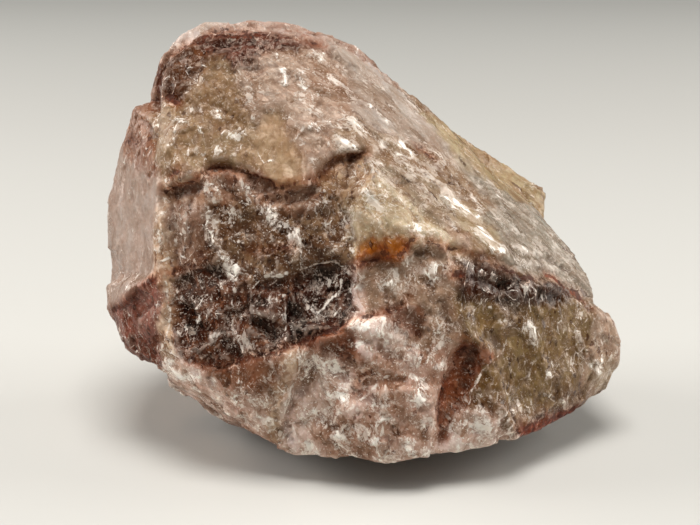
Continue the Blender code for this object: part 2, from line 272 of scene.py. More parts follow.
# %% Map of the kinds
ZONES = {
    "rim": ("clear rim", [
        (147,101),(151,86),(153,62),(163,43),(180,31),(200,21),(225,18),(248,23),(240,30),
        (218,31),(206,35),(192,42),(178,49),(168,56),(161,63),(157,72),(156,86),(155,99)]),
    "peak": ("brick", [
        (240,30),(248,23),(262,22),(285,17),(299,19),(307,30),(325,41),(320,47),(303,40),
        (284,36),(257,33)]),
    "crown edge": ("maroon", [
        (198,44),(208,36),(220,32),(240,31),(257,34),(284,37),(303,41),(318,47),(300,50),
        (282,48),(266,52),(248,62),(236,70),(228,60),(214,52),(204,50)]),
    "crown grey": ("grey brown", [
        (157,96),(157,72),(163,63),(172,55),(186,47),(200,44),(206,52),(214,54),(204,66),
        (196,84),(190,98),(176,104),(163,106)]),
    "crown tan": ("tan", [
        (163,106),(176,104),(190,98),(198,82),(206,64),(216,54),(228,62),(236,72),(240,96),
        (240,112),(252,126),(252,150),(256,166),(248,172),(228,167),(211,168),(202,174),
        (188,183),(172,184),(160,176),(154,160),(156,140),(150,126),(152,112)]),
    "crown mauve": ("mauve", [
        (236,70),(248,62),(266,52),(282,48),(300,50),(318,47),(334,52),(344,66),(350,90),
        (348,110),(336,124),(318,126),(296,128),(286,113),(264,117),(250,124),(240,110),(239,90)]),
    "peach scoop": ("peach", [
        (257,130),(252,140),(254,156),(264,170),(276,186),(288,188),(302,181),(303,166),
        (300,152),(292,141),(295,126),(284,113),(264,117)]),
    "scoop side": ("mauve", [
        (296,128),(318,126),(336,124),(340,140),(346,152),(335,161),(325,171),(316,178),
        (304,181),(303,160),(294,142)]),
    "shoulder": ("pink brown", [
        (133,100),(146,99),(156,98),(163,106),(152,113),(150,127),(156,141),(154,160),(160,176),
        (150,184),(136,170),(124,150),(118,141),(122,124)]),
    "flank": ("pale pink", [
        (118,141),(126,152),(138,172),(150,184),(160,180),(163,200),(158,226),(158,252),
        (150,272),(140,284),(130,299),(110,311),(104,316),(106,290),(104,262),(106,240),
        (104,215),(109,185),(115,160)]),
    "flank corner": ("straw", [
        (160,178),(172,186),(174,205),(172,235),(176,262),(174,300),(176,330),(172,356),
        (162,354),(160,320),(163,298),(156,276),(152,270),(159,250),(159,226),(164,200)]),
    "tooth": ("red brown", [
        (104,316),(110,311),(130,300),(141,286),(155,275),(162,298),(159,320),(161,354),
        (158,366),(140,361),(121,351),(114,332)]),
    "under lip": ("dark maroon", [
        (172,186),(188,183),(202,174),(211,168),(228,167),(248,172),(262,176),(276,187),
        (290,189),(306,182),(316,179),(318,192),(312,206),(300,214),(282,208),(262,204),
        (246,200),(228,206),(212,206),(196,204),(182,200),(172,204)]),
    "smoky mauve": ("mauve grey", [
        (172,204),(182,200),(196,204),(206,206),(206,226),(204,250),(206,262),(190,266),
        (176,264),(172,236)]),
    "smoky top": ("smoke", [
        (206,206),(228,206),(246,200),(262,204),(282,208),(300,214),(312,206),(318,192),
        (326,190),(334,206),(340,222),(350,244),(355,260),(345,266),(330,262),(304,268),
        (268,273),(250,288),(240,276),(222,264),(206,262),(204,240)]),
    "smoky foot": ("dark smoke", [
        (174,268),(190,266),(206,262),(222,264),(240,276),(250,289),(268,275),(300,271),
        (288,290),(286,312),(288,342),(272,350),(255,354),(224,364),(204,362),(190,358),
        (174,356),(177,330),(175,300)]),
    "glass": ("black glass", [
        (300,271),(320,265),(345,268),(353,276),(352,294),(358,312),(345,320),(322,330),
        (300,340),(288,342),(286,312),(288,290)]),
    "olive gap": ("olive brown", [
        (336,161),(350,154),(366,154),(374,164),(370,180),(360,196),(348,206),(336,206),
        (327,190),(318,190),(317,179),(326,171)]),
    "cream": ("cream", [
        (374,164),(386,178),(398,190),(414,206),(432,222),(452,238),(468,250),(450,250),
        (430,243),(412,239),(395,236),(370,234),(362,246),(356,258),(350,243),(340,221),
        (336,206),(348,206),(360,196),(370,180)]),
    "ochre": ("ochre", [
        (356,258),(362,246),(370,234),(395,236),(412,240),(404,250),(396,257),(380,258),
        (366,264),(357,264)]),
    "slope top": ("mauve pale", [
        (320,46),(345,52),(362,64),(392,88),(420,112),(440,136),(458,154),(446,158),(424,150),
        (404,142),(386,134),(366,120),(350,108),(350,88),(344,66)]),
    "slope upper": ("white streaked", [
        (348,110),(366,120),(386,134),(404,142),(424,150),(446,158),(462,166),(478,190),
        (496,206),(484,216),(468,204),(446,190),(430,176),(410,166),(392,160),(374,163),
        (366,154),(350,153),(341,140),(337,124)]),
    "slope brown": ("brown mauve", [
        (374,163),(392,160),(410,166),(426,176),(440,188),(452,200),(450,214),(438,222),
        (424,212),(410,200),(396,188),(384,176)]),
    "slope plate": ("bone", [
        (430,176),(446,190),(462,202),(480,218),(484,230),(476,234),(458,226),(448,214),
        (452,200),(440,188)]),
    "slope plate low": ("bone", [
        (472,230),(486,226),(500,232),(504,246),(502,258),(490,256),(478,250),(470,242)]),
    "slope low": ("warm grey", [
        (458,154),(480,175),(510,195),(541,211),(550,229),(562,246),(587,268),(592,285),
        (592,303),(575,292),(556,279),(543,280),(524,278),(508,271),(503,258),(505,246),
        (500,232),(486,226),(480,216),(496,206),(478,190),(462,166)]),
    "slope foot": ("pink grey", [
        (412,240),(430,243),(450,250),(468,250),(452,238),(438,224),(450,214),(460,226),
        (476,234),(470,242),(478,250),(490,256),(502,258),(508,271),(489,262),(471,254),
        (447,248),(430,244)]),
    "back block": ("ochre brown", [
        (421,112),(450,127),(470,138),(490,147),(510,161),(530,169),(541,181),(545,200),
        (545,213),(510,196),(480,176),(456,153),(440,136)]),
    "ochre facet": ("peach", [(465,146),(478,150),(490,160),(500,170),(486,168),(470,158)]),
    # The lobe top lies under the lobe's lip: its dark colour is partly rust and partly painted
    # shadow.
    "lobe top": ("dark olive", [
        (455,250),(471,254),(489,263),(508,272),(524,279),(543,281),(556,282),(572,294),
        (560,304),(540,310),(516,306),(490,306),(470,300),(458,290)]),
    "lobe": ("olive", [
        (458,290),(470,300),(490,306),(516,306),(540,310),(560,304),(574,296),(588,304),
        (596,320),(590,340),(584,362),(578,384),(560,398),(536,406),(510,404),(490,396),
        (478,392),(486,366),(508,350),(490,346),(472,344),(458,332)]),
    "lobe end": ("pink grey", [
        (588,303),(594,301),(614,318),(624,335),(625,350),(619,377),(606,395),(592,407),
        (584,400),(590,384),(586,364),(592,342),(598,322)]),
    "lobe plate": ("cream", [(590,366),(600,358),(611,362),(610,376),(602,388),(594,384)]),
    "lobe foot": ("brown grey", [
        (478,392),(490,396),(510,404),(536,406),(560,398),(578,384),(590,386),(584,402),
        (566,410),(540,416),(524,426),(512,430),(500,420),(484,414),(470,412)]),
    "foot white": ("bone pink", [
        (466,410),(484,414),(500,420),(516,430),(524,436),(510,443),(490,455),(470,462),
        (450,461),(448,440),(456,424)]),
    "foot rust": ("rust", [
        (516,430),(526,424),(542,416),(566,410),(586,402),(594,406),(575,424),(555,433),
        (535,431),(524,436)]),
    "valley": ("dark red", [
        (455,336),(472,344),(488,348),(492,356),(484,368),(476,388),(468,408),(456,424),
        (446,440),(436,444),(440,420),(444,394),(450,366)]),
    "middle": ("pink grey", [
        (404,258),(412,246),(430,245),(455,250),(458,290),(457,334),(450,346),(430,350),
        (406,346),(392,336),(390,310),(402,300),(404,280)]),
    "pink facet": ("pink grey", [
        (362,270),(376,262),(396,259),(402,282),(402,292),(396,303),(380,311),(371,316),
        (366,300)]),
    "pale column": ("bone pink", [(353,268),(362,266),(366,298),(371,317),(360,322),(357,300)]),
    "dark facet": ("red brown", [
        (390,310),(404,304),(420,310),(422,326),(414,338),(398,334),(391,326)]),
    # The white patch is the shelf's top, which faces up: its pale colour is partly white frost and
    # partly a painted highlight.
    "white patch": ("bone pink", [
        (352,326),(371,318),(388,320),(402,330),(406,343),(392,350),(372,346),(356,340)]),
    "seam foot": ("dark red", [
        (288,344),(300,342),(322,332),(345,322),(353,328),(356,342),(360,356),(344,362),
        (326,356),(304,350)]),
    "centre left": ("bone pink", [
        (304,350),(326,356),(344,362),(352,384),(340,400),(322,420),(314,434),(318,460),
        (300,461),(286,450),(278,434),(284,410),(294,384)]),
    "centre": ("mauve brown", [
        (360,356),(372,346),(392,350),(406,346),(430,350),(450,346),(449,366),(443,394),
        (439,420),(436,444),(420,466),(405,460),(365,459),(335,463),(318,460),(314,434),
        (322,420),(340,400),(352,384),(344,362)]),
    "foot pink": ("bone pink", [
        (420,440),(436,444),(448,440),(450,461),(420,466),(400,460),(404,446)]),
    "strip": ("straw", [
        (286,350),(304,349),(298,370),(292,386),(284,408),(277,432),(266,438),(264,424),
        (270,400),(280,380)]),
    "foot left": ("pink brown", [
        (190,362),(204,364),(224,366),(255,357),(286,349),(280,380),(270,400),(256,396),
        (240,390),(220,384),(206,376)]),
    "foot scoop": ("mauve brown", [
        (206,376),(220,384),(240,390),(256,396),(270,400),(264,424),(266,440),(250,436),
        (225,426),(208,418),(196,400),(198,384)]),
    "left tip": ("bone pink", [
        (160,364),(172,357),(190,362),(206,376),(198,384),(196,400),(208,418),(188,408),
        (170,391),(162,376)]),
}

# Marks on the sides that the camera doesn't see, in millimetres: across, back and up.
HIDDEN_MARKS = [
    ("brick", (-20, 24, 89)), ("pink brown", (-44, 22, 71)), ("mauve pale", (-22, 34, 67)),
    ("white streaked", (4, 34, 63)), ("bone", (22, 36, 49)), ("mauve grey", (-8, 38, 45)),
    ("pale pink", (-54, 10, 47)), ("olive brown", (-42, 30, 41)), ("smoke", (-26, 38, 31)),
    ("bone pink", (-50, 16, 19)), ("mauve brown", (-12, 34, 13)), ("dark smoke", (10, 38, 25)),
    ("pink grey", (26, 36, 17)), ("ochre brown", (42, 26, 35)), ("maroon", (36, 30, 9)),
    ("warm grey", (54, 8, 39)), ("olive", (56, 4, 17)), ("brown grey", (0, 0, 1)),
    ("red brown", (-36, -6, 7)), ("tan", (-34, 36, 55)), ("cream", (34, 34, 39)),
]
MARK_STEP = 5          # pixels between the marks that fill an outline
SEEN_WITHIN = 4.0      # skin this near to a mark in view, in millimetres, isn't hidden
HIDDEN_STRIDE = 23     # one skin point in this many is marked on the hidden sides
HIDDEN_LUMP = 14.0     # size of the bends in the hidden kinds' borders
HIDDEN_BEND = 9.0      # and how far they go


def inside(x, y, outline):
    """Whether a pixel lies inside: a line to its right crosses an odd number of sides."""
    crossings = 0
    for (x0, y0), (x1, y1) in zip(outline, outline[1:] + outline[:1]):
        if (y0 > y) != (y1 > y) and x < x0 + (y - y0) * (x1 - x0) / (y1 - y0):
            crossings += 1
    return crossings % 2 == 1


def search_tree(marks):
    """A search tree of marks, each a place and a number that goes with it."""
    found = KDTree(len(marks))
    for place, number in marks:
        found.insert(place, number)
    found.balance()
    return found


def shaken(place, size, reach):
    """The place moved a little by noise whose lumps have this size."""
    return place + reach * noise.noise_vector(place / size)


front_marks = []
for kind, outline in ZONES.values():
    xs, ys = [x for x, y in outline], [y for x, y in outline]
    for y in range(min(ys), max(ys) + 1, MARK_STEP):
        for x in range(min(xs), max(xs) + 1, MARK_STEP):
            place = spot(x, y) if inside(x, y, outline) else None
            if place:
                front_marks.append((place, kind_names.index(kind)))
front_tree = search_tree(front_marks)

hidden_tree = search_tree([(place, kind_names.index(kind)) for kind, place in HIDDEN_MARKS])
hidden_marks = []
for point in points[::HIDDEN_STRIDE]:
    place = Vector(point)
    if front_tree.find(place)[2] > SEEN_WITHIN:
        kind = hidden_tree.find(shaken(place, HIDDEN_LUMP, HIDDEN_BEND))[1]
        hidden_marks.append((place, kind))
print(len(front_marks), "marks in view,", len(hidden_marks), "out of sight")

# %% [markdown]
# ## Seams and veins
#
# Iron stains follow the joints, where water once ran, so the rust lies in thin, broken lines.
# White veins are cracks that healed, white plates are flakes that lifted without coming off, and
# dark windows are clear spots where one sees into the stone, except four dark lines along the
# crown's lip, which paint the shadow under it. All are drawn as lines over the view, each with a
# half width in millimetres. What gets stored is every point's distance to the nearest line, less
# that width: a distance blends smoothly between points, so a line stays thin and sharp on the
# skin.

# %% Seams and veins
RUST_SEAMS = [
    (0.3, [
        (161,94),(158,82),(160,65),(170,55),(182,47),(202,39),(211,33),(231,31),(257,35),
        (284,38),(304,41),(321,47)]),
    (0.5, [(211,35),(228,34),(250,37)]), (0.2, [(132,107),(149,102),(164,96),(170,102)]),
    (1.0, [(168,95),(176,101)]), (0.1, [(120,137),(131,140),(141,145)]),
    (0.7, [(172,176),(178,170)]),
    (0.3, [
        (165,190),(188,184),(202,175),(211,169),(227,168),(249,173),(257,177),(274,185),
        (288,187),(304,181),(317,177),(325,171),(335,161),(351,154),(366,154)]),
    (0.5, [(107,313),(118,308),(132,300),(143,287),(155,277)]),
    (0.1, [(172,272),(186,268),(205,262)]),
    (0.4, [(355,268),(367,262),(381,258),(398,256),(408,245),(414,239)]),
    (0.2, [(430,243),(447,247),(471,253),(489,262),(508,272),(524,278),(544,280)]),
    (0.9, [(547,276),(556,278),(566,288),(583,298)]), (0.3, [(583,298),(591,309)]),
    (0.2, [(190,360),(202,363)]),
    (0.4, [(202,363),(223,366),(255,356),(284,348),(300,343),(321,332),(345,323)]),
    (0.2, [(345,323),(372,315),(392,308),(402,302),(410,296)]),
    (0.3, [(463,350),(451,364),(444,394),(440,425)]), (0.2, [(366,372),(355,385)]),
    (0.8, [(452,275),(460,276)]), (0.5, [(384,246),(388,256)]),
    (0.5, [(418,148),(427,152),(432,158)]), (0.7, [(520,430),(545,424),(568,413),(590,403)]),
    (0.2, [(250,252),(272,250),(292,248)]),
]
MILK_VEINS = [
    (0.14, [(249,291),(260,282),(268,275),(284,274),(300,271),(315,264)]),
    (0.10, [(315,264),(335,262),(345,268)]), (0.10, [(296,237),(301,247),(298,252)]),
    (0.06, [(284,294),(286,320),(286,341),(280,334)]), (0.05, [(221,286),(228,298),(232,306)]),
    (0.03, [(210,264),(214,276)]), (0.10, [(312,308),(318,312),(330,300),(340,290),(342,280)]),
    (0.05, [(334,316),(340,310)]), (0.08, [(192,296),(197,310),(195,322),(201,316)]),
    (0.06, [(255,312),(270,318),(284,315)]), (0.08, [(345,390),(366,378),(398,376)]),
    (0.10, [(376,386),(355,404),(335,419),(323,431)]),
    (0.06, [(303,352),(296,376),(288,400),(279,423)]),
    (0.06, [(510,349),(490,362),(476,380),(469,400),(463,425)]),
    (0.06, [(322,362),(330,378),(346,390)]), (0.06, [(384,386),(384,420),(378,450)]),
    (0.03, [(160,222),(163,240),(168,256),(160,262)]), (0.03, [(166,280),(170,320),(164,345)]),
    (0.03, [(340,232),(348,246),(356,256)]), (0.06, [(404,300),(412,316),(424,330)]),
    (0.05, [(388,260),(396,276),(404,290)]), (0.03, [(212,398),(236,404),(250,416),(262,396)]),
    (0.03, [(236,386),(250,394)]), (0.03, [(290,420),(296,436),(306,450)]),
    (0.03, [(443,352),(438,346),(446,330)]), (0.03, [(410,408),(416,395)]),
    (0.03, [(187,156),(190,146)]), (0.03, [(296,140),(304,128)]), (0.03, [(328,140),(330,156)]),
]
WHITE_PLATES = [
    (1.1, [(300,74),(305,84)]), (0.8, [(312,54),(321,57)]), (0.5, [(277,54),(287,58)]),
    (0.7, [(331,76),(342,86),(352,96)]), (0.4, [(337,66),(343,70)]), (0.4, [(283,72),(284,84)]),
    (0.4, [(298,125),(315,127),(334,121)]), (0.8, [(338,138),(347,147),(356,150)]),
    (0.6, [(191,149),(196,150)]), (0.6, [(216,141),(219,150)]), (0.6, [(236,165),(242,169)]),
    (0.5, [(178,119),(186,119)]), (0.5, [(224,134),(235,137)]), (0.4, [(200,128),(206,126)]),
    (0.4, [(214,112),(218,118)]), (1.5, [(210,180),(214,196)]), (0.9, [(240,174),(244,186)]),
    (1.3, [(209,212),(215,242)]), (1.2, [(258,206),(280,224)]), (0.6, [(292,228),(297,240)]),
    (0.9, [(232,270),(244,268)]), (0.7, [(212,340),(222,336)]), (1.1, [(232,326),(246,346)]),
    (0.6, [(250,345),(255,352)]), (0.6, [(302,206),(315,208)]), (0.6, [(222,256),(226,262)]),
    (1.0, [(370,109),(386,121)]), (1.0, [(385,129),(396,133)]), (1.0, [(386,139),(410,153)]),
    (0.5, [(412,135),(418,140)]), (0.7, [(350,121),(362,140),(372,150)]),
    (0.6, [(392,165),(408,176)]), (1.4, [(422,172),(450,192)]), (1.7, [(450,204),(474,216)]),
    (1.7, [(480,234),(498,250)]), (0.8, [(414,227),(440,233)]), (0.5, [(358,190),(372,197)]),
    (0.9, [(494,194),(512,205)]), (0.5, [(478,178),(487,183)]), (0.6, [(524,262),(556,268)]),
    (0.5, [(512,246),(540,254)]), (0.7, [(478,273),(490,268)]), (0.5, [(493,277),(500,281)]),
    (0.6, [(525,286),(532,294)]), (0.5, [(484,289),(494,296)]), (1.4, [(525,326),(534,340)]),
    (1.6, [(598,363),(603,377)]), (1.0, [(577,336),(583,350)]), (0.8, [(540,366),(546,376)]),
    (0.9, [(560,400),(568,409)]), (1.5, [(478,412),(484,424)]), (0.8, [(500,412),(508,420)]),
    # The second plate on the line below lies on the shelf's up-facing top: partly white frost,
    # partly a painted highlight.
    (1.4, [(404,256),(412,268),(430,270)]), (1.5, [(374,322),(404,336)]),
    (0.6, [(392,284),(401,296)]), (0.8, [(356,347),(366,351)]), (1.0, [(430,362),(446,366)]),
    (1.2, [(345,392),(338,412)]), (0.9, [(322,388),(332,402)]), (1.5, [(178,374),(196,378)]),
    (0.9, [(172,382),(184,398)]), (0.7, [(228,412),(254,418)]), (0.6, [(335,434),(348,448)]),
    (0.7, [(404,440),(410,452)]), (1.1, [(455,442),(462,455)]), (0.8, [(300,362),(306,352)]),
    (0.6, [(420,398),(426,404)]), (0.8, [(360,432),(372,440)]),
]
DARK_WINDOWS_AND_LIP_SHADE = [
    (1.0, [(165,66),(178,56),(190,52)]), (0.9, [(166,84),(170,92)]), (0.8, [(244,62),(256,67)]),
    (1.0, [(216,46),(232,42),(250,42)]), (0.6, [(214,66),(232,73)]), (0.7, [(176,98),(184,92)]),
    (1.5, [(229,344),(235,351)]), (1.7, [(294,314),(299,334)]), (0.9, [(316,281),(330,275)]),
    (0.7, [(347,284),(350,300)]), (1.6, [(264,324),(276,334)]), (1.2, [(252,300),(264,303)]),
    (1.2, [(306,246),(320,254)]), (0.8, [(190,324),(196,334)]), (1.0, [(206,266),(222,276)]),
    # The last entry on the line below and the three on the line after it run along the crown's
    # lip: they paint the shadow under the lip.
    (0.9, [(258,286),(280,282)]), (0.7, [(300,340),(318,332)]), (1.0, [(178,194),(196,186)]),
    (1.0, [(224,182),(236,186)]), (1.3, [(252,182),(274,196)]), (1.0, [(288,198),(312,190)]),
    (1.5, [(396,309),(414,326)]), (0.8, [(366,264),(392,262)]), (1.0, [(472,352),(466,384)]),
    (0.7, [(443,392),(440,416)]), (1.0, [(488,336),(500,346)]), (1.0, [(503,286),(520,281)]),
    (0.8, [(456,260),(474,264)]), (0.6, [(442,300),(450,330)]), (1.5, [(328,352),(350,345)]),
    (0.8, [(310,366),(302,394)]), (1.2, [(334,372),(350,380)]), (1.0, [(364,396),(376,404)]),
    (0.6, [(291,400),(287,426)]), (0.7, [(380,350),(398,358)]), (0.7, [(424,384),(420,410)]),
    (0.8, [(344,356),(352,366)]), (0.6, [(282,430),(290,440)]), (0.8, [(320,420),(334,430)]),
    (0.8, [(426,282),(432,296)]), (0.6, [(352,160),(345,172)]), (0.8, [(540,296),(556,300)]),
    (0.8, [(500,300),(516,310)]), (0.7, [(536,420),(560,412)]), (0.5, [(270,392),(274,410)]),
]
NEAR_POINTS = 4


def line_tree(lines):
    """A search tree of the points along some lines, and the half width at each point."""
    found = [(place, width) for width, line in lines for place in trail(line)]
    places = [(place, i) for i, (place, width) in enumerate(found)]
    return search_tree(places), [width for place, width in found]


def beyond(place, tree_of_points, widths):
    """How far a place lies outside the nearest line, in millimetres."""
    nearest = tree_of_points.find_n(place, NEAR_POINTS)
    return min(distance - widths[i] for _, i, distance in nearest)


line_trees = {
    "rust_gap": line_tree(RUST_SEAMS),
    "milk_gap": line_tree(MILK_VEINS),
    "plate_gap": line_tree(WHITE_PLATES),
    "dark_gap": line_tree(DARK_WINDOWS_AND_LIP_SHADE),
}
print("points on the lines:", {name: len(widths) for name, (_, widths) in line_trees.items()})

# %% [markdown]
# ## Paint the map on the points
#
# A point takes the average of the marks around it, so one kind passes into the next over about
# a millimetre. The place that is looked up is first shaken by noise, which frays the borders:
# minerals never meet along a ruled line. The lines waver too, but only along the surface: a
# shake that left it would carry the point away from a hair-thin vein. The joints that carry rust
# are planes through the stone, so on the hidden sides the seams go on where those planes come out.

# %% Blend the kinds
NEIGHBOURS = 12
FULL_WEIGHT = 0.5      # a mark nearer than this, in millimetres, gains little more weight
FALL_OFF = 3.5         # how fast a mark's weight drops with distance
FRAY = 1.1
WAVER = 0.7
WAVER_LUMP = 2.5
FAR_AWAY = 20.0        # no gap is stored beyond this
FADE_BEHIND = 6.0      # the hidden seams come in over this many millimetres
JOINT_PLANES = [       # direction across the plane, place along it, half width of the rust
    (Vector((0.10, 0.35, 1.0)).normalized(), 24.7, 0.5),
    (Vector((0.55, -0.25, 1.0)).normalized(), 50.3, 0.4),
    (Vector((1.0, 0.3, 0.35)).normalized(), -29.4, 0.3),
]
JOINT_LUMP = 16.0
JOINT_BEND = 5.0
JOINT_RETREAT = 4.0    # how far a joint's rust draws back where the view takes over

mark_tree = search_tree(front_marks + hidden_marks)
blend = np.zeros((len(points), kind_table.shape[1]))
gaps = {name: np.full(len(points), FAR_AWAY) for name in line_trees}
for i, point in enumerate(points):
    place = Vector(point)
    frayed = shaken(shaken(place, 9.0, 2 * FRAY), 2.0, FRAY)
    found = mark_tree.find_n(frayed, NEIGHBOURS)
    weights = np.array([1 / (FULL_WEIGHT + distance) ** FALL_OFF for _, _, distance in found])
    blend[i] = weights @ kind_table[[kind for _, kind, _ in found]] / weights.sum()

    bend = WAVER * noise.noise_vector(place / WAVER_LUMP)
    upward = Vector(normals[i])
    wavy = place + bend - upward * bend.dot(upward)
    for name, (tree_of_points, widths) in line_trees.items():
        gaps[name][i] = beyond(wavy, tree_of_points, widths)
    unseen = min(1.0, max(0.0, (front_tree.find(place)[2] - SEEN_WITHIN) / FADE_BEHIND))
    if unseen:
        bent = shaken(place, JOINT_LUMP, JOINT_BEND)
        for across, height, width in JOINT_PLANES:
            gap = abs(bent.dot(across) - height) - width + JOINT_RETREAT * (1 - unseen)
            gaps["rust_gap"][i] = min(gaps["rust_gap"][i], gap)
tints = blend[:, :3]
habits = dict(zip(HABITS, blend[:, 3:].T))
rusty = float(np.mean(gaps["rust_gap"] < 1))
print("rust within 1 mm:", round(100 * rusty, 1), "% of the skin")

# %% [markdown]
# ## Break the surface
#
# Quartz has no cleavage, so a blow tears it in shell-like bowls and small leaning facets.
# Voronoi cells give both. A bowl is deepest at the cell's centre and ends in a sharp rim at its
# border, and a facet is a cell that tilts its own way. The calm kinds show mostly the broad
# bowls, and the rough ones get the facets, or hackles. It is done on the points, not by bump in
# the material, so that the chips also break the outline.

# %% Relief
GRAIN_RUN = Vector((0.75, -0.10, -0.65)).normalized()
GRAIN_DRAW = 0.45
BOWLS = ((10.0, 0.60), (4.5, 0.18))                  # size and depth, in millimetres
HACKLES = ((7.5, 0.30), (3.6, 0.27), (1.9, 0.20))    # size in millimetres, and lean
BOWL_FLARE = 1.8
LEAST_BROKEN = 0.25    # share of the hackles that even the calmest kind keeps
CELL_SEED = 9.7
LINE_RISE = {          # how far the lines stand up, and over what width they do, in millimetres
    "rust_gap": (-0.25, 0.9),
    "milk_gap": (0.15, 0.7),
    "plate_gap": (0.30, 0.7),
    "dark_gap": (-0.35, 0.9),
}


def drawn_out(place, amount):
    """The place squeezed along the grain, so that cells come out longer that way."""
    return place - GRAIN_RUN * place.dot(GRAIN_RUN) * amount


def bowl(place, size):
    """-1 in the middle of a cell, rising like a bowl to a sharp crest at its border."""
    from_middle = noise.voronoi(place / size)[0][0]
    return min(1.0, BOWL_FLARE * from_middle ** 2) - 1


def facet(place, size):
    """How high the place lies on the tilted face of its cell, in millimetres per unit of lean."""
    centre = noise.voronoi(place / size)[1][0]
    lean = noise.cell_vector(centre * CELL_SEED) - Vector((0.5, 0.5, 0.5))
    return size * lean.dot(place / size - centre)


heights = np.zeros(len(points))
for i, point in enumerate(points):
    place = drawn_out(shaken(Vector(point), 6.0, 1.2), GRAIN_DRAW * habits["streak"][i])
    broken = LEAST_BROKEN + (1 - LEAST_BROKEN) * habits["rough"][i]
    height = sum(depth * bowl(place, size) for size, depth in BOWLS) * (0.5 + 0.5 * broken)
    height += sum(lean * facet(place, size) for size, lean in HACKLES) * broken
    for name, (rise, width) in LINE_RISE.items():
        height += rise * max(0.0, 1 - max(0.0, gaps[name][i]) / width)
    heights[i] = height
heights -= heights.mean()
moved = points + normals * heights[:, None]
moved[:, 2] = np.maximum(moved[:, 2], 0)
print("relief:", round(float(heights.min()), 2), "to", round(float(heights.max()), 2), "mm")

# %% [markdown]
# ## Bruised edges and dark hollows
#
# Every sharp edge of the stone is bruised to white powder, and the crevices hold shadow and
# dirt. Comparing each point with the mean of its neighbours tells which is which. The
# comparison is made twice, once close by and once after spreading it, to catch both the small
# chips and the big ridges.

# %% Edges
NEAR_ROUNDS, FAR_ROUNDS = 3, 30
NEAR_GAIN, FAR_GAIN = 1.6, 0.45

edge_pairs = np.array([edge.vertices[:] for edge in skin.edges])
links = np.bincount(edge_pairs.ravel(), minlength=len(moved))


def neighbour_mean(values):
    """The mean of every point's neighbours, for one column of values."""
    a, b = edge_pairs.T
    total = np.bincount(a, values[b], len(values)) + np.bincount(b, values[a], len(values))
    return total / links


def spread(values, rounds):
    """Values averaged with their neighbours again and again."""
    for _ in range(rounds):
        values = 0.5 * values + 0.5 * neighbour_mean(values)
    return values


def standing_out(rounds):
    """How far each point stands out from its surroundings, in millimetres."""
    broad = np.stack([spread(column, rounds) for column in moved.T], axis=1)
    return ((moved - broad) * normals).sum(axis=1)


edge = 0.5 + NEAR_GAIN * standing_out(NEAR_ROUNDS) + FAR_GAIN * standing_out(FAR_ROUNDS)
edge = np.clip(edge, 0, 1)
print("edge: mean", round(float(edge.mean()), 3), "spread", round(float(edge.std()), 3))

# %% [markdown]
# ## Store what the material reads
#
# The map goes onto the skin as attributes, one value per point, beside the broken surface
# itself. Attributes move with the mesh, so the marks stay in place wherever the stone is put.

# %% Store everything on the skin
skin.vertices.foreach_set("co", (moved * MM).astype(np.float32).ravel())
colours = np.column_stack([tints, np.ones(len(points))]).astype(np.float32)
tint_layer = skin.attributes.new("tint", "FLOAT_COLOR", "POINT")
tint_layer.data.foreach_set("color", colours.ravel())
far_kept = {name: np.minimum(values, FAR_AWAY) for name, values in gaps.items()}
for name, values in {**habits, **far_kept, "edge": edge}.items():
    layer = skin.attributes.new(name, "FLOAT", "POINT")
    layer.data.foreach_set("value", values.astype(np.float32))
skin.polygons.foreach_set("use_smooth", [True] * len(skin.polygons))
skin.update()
quartz = bpy.data.objects.new("quartz_stone", skin)
bpy.context.scene.collection.objects.link(quartz)
print("stored:", [attribute.name for attribute in skin.attributes])

# %% [markdown]
# ## Writing shader maths as sums
#
# A material of this kind needs dozens of small sums. `Wire` wraps a node's output, so that
# `1 - frost * 0.5` adds the Math nodes by itself, and `Bench` adds every other node by one
# method. The same tree could be wired by hand in the editor, but then nobody could read it.

# %% Wires and a bench
GREEN_LOSS, BLUE_LOSS = 1.35, 1.7


class Wire:
    """A node's output that takes part in sums: every operator adds a Math node."""

    def __init__(self, bench, socket):
        self.bench = bench
        self.socket = socket

    def maths(self, operation, first, second):
        return self.bench.node("ShaderNodeMath", {"operation": operation}, {0: first, 1: second})

    def __add__(self, other):
        return self.maths("ADD", self, other)

    def __sub__(self, other):
        return self.maths("SUBTRACT", self, other)

    def __rsub__(self, other):
        return self.maths("SUBTRACT", other, self)

    def __mul__(self, other):
        return self.maths("MULTIPLY", self, other)

    def __pow__(self, power):
        return self.maths("POWER", self, power)

    __radd__ = __add__
    __rmul__ = __mul__

    def distance_from(self, value):
        return self.bench.node("ShaderNodeMath", {"operation": "ABSOLUTE"}, {0: self - value})

    def above(self, value):
        return self.maths("GREATER_THAN", self, value)

    def step(self, low, high):
        """0 below the low value, 1 above the high one, and a soft rise between them."""
        settings = {"interpolation_type": "SMOOTHSTEP"}
        sockets = {0: self, 1: low, 2: high, 3: 0.0, 4: 1.0}
        return self.bench.node("ShaderNodeMapRange", settings, sockets)


